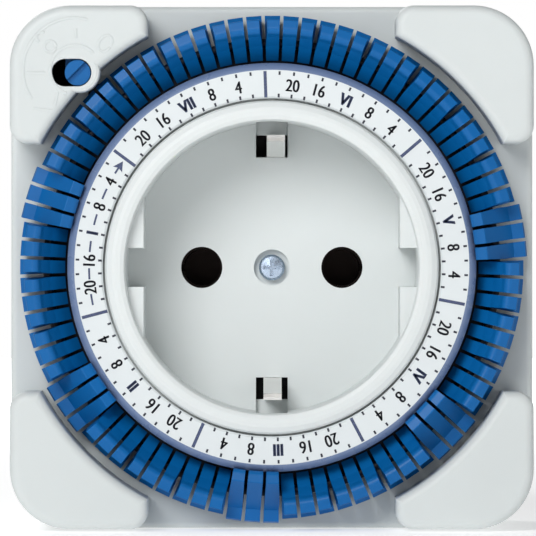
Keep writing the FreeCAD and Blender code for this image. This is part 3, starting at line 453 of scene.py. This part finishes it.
def add_ridge(mesh, points, width, height, level):
    """A low rounded ridge along points in the face plane, in millimetres, tapering into the face."""
    rows = []
    for i, (x, z) in enumerate(points):
        before, after = points[max(i - 1, 0)], points[min(i + 1, len(points) - 1)]
        run = Vector((after[0] - before[0], after[1] - before[1])).normalized()
        low = 0.15 if i in (0, len(points) - 1) else 1.0
        row = []
        for step in range(7):
            turn = math.pi * step / 6
            side, rise = math.cos(turn) * width / 2, math.sin(turn) * height * low
            place = Vector((x - run.y * side, 0, z + run.x * side)) * MM
            row.append(mesh.verts.new(place + Vector((0, level - (rise - 0.02) * MM, 0))))
        rows.append(row)
    for before, after in zip(rows, rows[1:]):
        for i in range(6):
            mesh.faces.new((before[i], before[i + 1], after[i + 1], after[i])).smooth = True


def override_marks():
    """Raised generic marks round the override button: two arcs, ticks and a circle for each setting."""
    mesh = bmesh.new()
    x, z = OVERRIDE.x / MM, OVERRIDE.z / MM
    arcs = [
        circle_path((x, z), (3.3, 3.3), 40, 250),
        circle_path((x, z), (6.9, 6.9), 75, 215),
        circle_path((x - 3.3, z + 3.1), (0.75, 0.75), 0, 360),
        circle_path((x + 4.0, z + 3.5), (0.8, 1.15), 0, 360, -32),
        circle_path((x - 4.4, z + 4.3), (0.7, 0.7), 60, 240),
    ]
    lines = [
        ((-32.7, 25.8), (-29.9, 25.8)),
        ((-31.8, 21.1), (-29.1, 20.8)),
        ((-28.4, 23.3), (-28.8, 21.4)),
        ((-26.0, 31.8), (-26.0, 30.3)),
    ]
    for (x0, z0), (x1, z1) in lines:
        arcs.append([(x0 + (x1 - x0) * i / 6, z0 + (z1 - z0) * i / 6) for i in range(7)])
    for path in arcs:
        add_ridge(mesh, path, 0.42, 0.10, POST_Y)
    bmesh.ops.recalc_face_normals(mesh, faces=mesh.faces)
    piece_from_bmesh("override_marks", mesh, WHITE, "housing")


# ---------------------------------------------------------------- studio


FLOOR_GAP = 0.1 * MM
FLOOR_HALF = 1.6
CAMERA_DISTANCE = 0.87
FIELD = 71.2 * MM
SENSOR = 36


def studio():
    """A pale floor under white air, soft light from the upper left, and the camera square to the face."""
    floor_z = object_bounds()[0].z - FLOOR_GAP
    half = FLOOR_HALF
    mesh = bmesh.new()
    corners = ((-half, -half), (half, -half), (half, half), (-half, half))
    mesh.faces.new([mesh.verts.new((x, y, floor_z)) for x, y in corners])
    data = bpy.data.meshes.new("floor")
    mesh.to_mesh(data)
    mesh.free()
    data.materials.append(studio_surface("studio_board", (0.93, 0.93, 0.93)))
    floor = bpy.data.objects.new("floor", data)
    bpy.context.scene.collection.objects.link(floor)
    floor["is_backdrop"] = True
    studio_air()

    add_light("key", (-0.30, -0.88, 0.42), 0.50, 6.4)
    add_light("fill", (0.6, -0.8, 0.0), 0.6, 1.1)
    add_light("back", (-0.35, 0.85, 0.55), 0.6, 4.0)

    camera_data = bpy.data.cameras.new("camera")
    camera_data.sensor_width = SENSOR
    camera_data.lens = SENSOR * CAMERA_DISTANCE / FIELD
    camera_data.shift_x = -0.0071
    camera_data.shift_y = -0.0011
    camera = bpy.data.objects.new("camera", camera_data)
    camera.location = (0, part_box("socket_insert")[0].y - CAMERA_DISTANCE, 0)
    camera.rotation_euler = (math.radians(90), 0, 0)
    bpy.context.scene.collection.objects.link(camera)
    bpy.context.scene.camera = camera


def studio_air():
    """White surroundings for the camera and a dim, slightly cool dome for everything else."""
    world = bpy.data.worlds.new("studio")
    world.use_nodes = True
    tree = world.node_tree
    dome = tree.nodes["Background"]
    dome.inputs["Color"].default_value = (0.96, 0.98, 1.0, 1)
    dome.inputs["Strength"].default_value = 0.20
    seen = tree.nodes.new("ShaderNodeBackground")
    seen.inputs["Color"].default_value = (1, 1, 1, 1)
    path = tree.nodes.new("ShaderNodeLightPath")
    choice = tree.nodes.new("ShaderNodeMixShader")
    tree.links.new(path.outputs["Is Camera Ray"], choice.inputs["Fac"])
    tree.links.new(dome.outputs["Background"], choice.inputs[1])
    tree.links.new(seen.outputs["Background"], choice.inputs[2])
    tree.links.new(choice.outputs["Shader"], tree.nodes["World Output"].inputs["Surface"])
    bpy.context.scene.world = world
    bpy.context.scene.view_settings.view_transform = "Standard"


def add_light(name, place, size, power):
    """A round soft light in metres and watts, aimed at the middle of the housing."""
    data = bpy.data.lights.new(name, "AREA")
    data.shape = "DISK"
    data.size = size
    data.energy = power
    light = bpy.data.objects.new(name, data)
    light.location = place
    aim = Vector((0, -0.05, 0)) - Vector(place)
    light.rotation_euler = aim.to_track_quat("-Z", "Y").to_euler()
    bpy.context.scene.collection.objects.link(light)


# ---------------------------------------------------------------- assembly

finish_cad_nodes()
soften_tappets()
dial_edge()
dial_ticks()
dial_numbers()
day_one_arrow()
override_marks()
studio()
